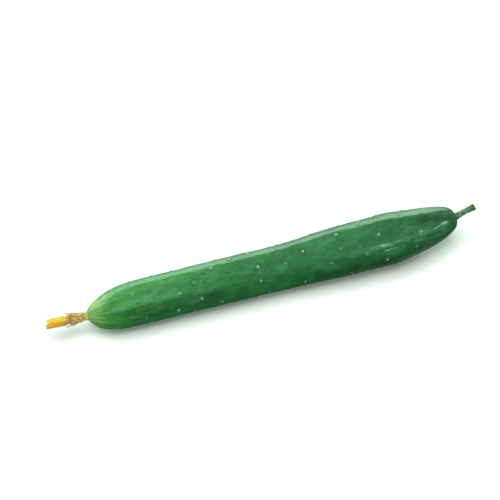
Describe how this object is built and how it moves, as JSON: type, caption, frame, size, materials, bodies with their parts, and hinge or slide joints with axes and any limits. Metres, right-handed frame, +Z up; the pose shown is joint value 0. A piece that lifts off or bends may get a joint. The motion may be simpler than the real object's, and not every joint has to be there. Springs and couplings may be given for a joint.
{
  "type": "cucumber",
  "caption": "Slender whole cucumber with small spined warts, a cut stalk at one end and a withered yellow flower at the other, lying on its side.",
  "frame": {"origin": "on the flat spot that the fruit rests on, under the middle of its length", "axes": "+X along the fruit towards its stem end, +Z up out of the surface that it lies on"},
  "size_m": [0.2441, 0.0307, 0.0284],
  "materials": {
    "skin": "satin",
    "stalk": "matte",
    "dry_calyx": "matte",
    "petal": "matte"
  },
  "bodies": {
    "root": {"fruit": "skin", "stalk": "stalk", "calyx": "dry_calyx", "corolla": "petal"}
  },
  "joints": []
}
